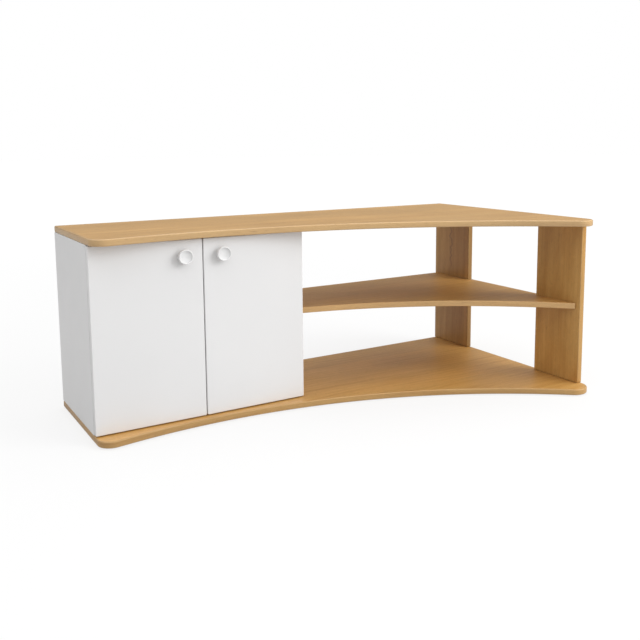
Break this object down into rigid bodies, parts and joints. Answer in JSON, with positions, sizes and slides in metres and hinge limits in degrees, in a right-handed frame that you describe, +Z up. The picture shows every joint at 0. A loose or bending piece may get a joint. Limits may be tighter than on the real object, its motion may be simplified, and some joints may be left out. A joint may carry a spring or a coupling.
{
  "type": "corner media cabinet",
  "caption": "Low corner media cabinet with a hollow curved front, a two-door white cupboard at the left and an open oak bay with one shelf at the right.",
  "frame": {"origin": "on the floor, under the middle of the cabinet's bounding box", "axes": "+X along the long back edge towards the open bay, +Y to the back, -Y to the room, +Z up"},
  "size_m": [1.4, 0.7552, 0.535],
  "materials": {
    "oak_veneer": "satin lacquered oak veneer, grain lengthways",
    "white_lacquer": "smooth satin white lacquer",
    "white_hardboard": "painted thin hardboard",
    "beech": "raw fluted beech dowel",
    "plated_steel": "nickel-plated steel",
    "white_plastic": "smooth white moulded plastic",
    "felt_glide": "grey-brown felt-faced plastic"
  },
  "bodies": {
    "carcass": {"top_board": "oak_veneer", "bottom_board": "oak_veneer", "open_shelf": "oak_veneer", "rear_corner_panel": "oak_veneer", "right_end_panel": "oak_veneer", "left_side_panel": "white_lacquer", "partition_panel": "white_lacquer", "cupboard_shelf": "white_lacquer", "cupboard_back": "white_hardboard", "left_side_back_dowel": "beech", "left_side_front_dowel": "beech", "partition_back_dowel": "beech", "partition_front_dowel": "beech", "rear_corner_back_dowel": "beech", "rear_corner_front_dowel": "beech", "right_end_back_dowel": "beech", "right_end_front_dowel": "beech", "shelf_dowel_partition_back": "beech", "shelf_dowel_partition_front": "beech", "shelf_dowel_rear_corner": "beech", "shelf_dowel_right_end": "beech", "left_side_back_screw": "plated_steel", "left_side_front_screw": "plated_steel", "partition_back_screw": "plated_steel", "partition_front_screw": "plated_steel", "rear_corner_back_screw": "plated_steel", "rear_corner_front_screw": "plated_steel", "right_end_back_screw": "plated_steel", "right_end_front_screw": "plated_steel", "shelf_pin_left_back": "plated_steel", "shelf_pin_left_front": "plated_steel", "shelf_pin_right_back": "plated_steel", "shelf_pin_right_front": "plated_steel", "glide_back_left": "felt_glide", "glide_back_middle": "felt_glide", "glide_back_right": "felt_glide", "glide_front_left": "felt_glide", "glide_front_middle": "felt_glide", "glide_front_right": "felt_glide", "left_lower_hinge_arm": "plated_steel", "left_lower_hinge_plate": "plated_steel", "left_upper_hinge_arm": "plated_steel", "left_upper_hinge_plate": "plated_steel", "right_lower_hinge_arm": "plated_steel", "right_lower_hinge_plate": "plated_steel", "right_upper_hinge_arm": "plated_steel", "right_upper_hinge_plate": "plated_steel"},
    "left_door": {"left_door": "white_lacquer", "left_knob": "white_plastic", "left_knob_screw": "plated_steel", "left_bumper": "white_plastic", "left_lower_hinge_cup": "plated_steel", "left_upper_hinge_cup": "plated_steel"},
    "right_door": {"right_door": "white_lacquer", "right_knob": "white_plastic", "right_knob_screw": "plated_steel", "right_bumper": "white_plastic", "right_lower_hinge_cup": "plated_steel", "right_upper_hinge_cup": "plated_steel"}
  },
  "joints": [
    {"name": "left_door_hinge", "type": "hinge", "parent": "carcass", "child": "left_door", "pos_m": [-0.691, 0.02805, 0.269], "axis": [0, 0, -1], "range_deg": [0, 95]},
    {"name": "right_door_hinge", "type": "hinge", "parent": "carcass", "child": "right_door", "pos_m": [-0.102, 0.02805, 0.269], "axis": [0, 0, 1], "range_deg": [0, 95]}
  ]
}
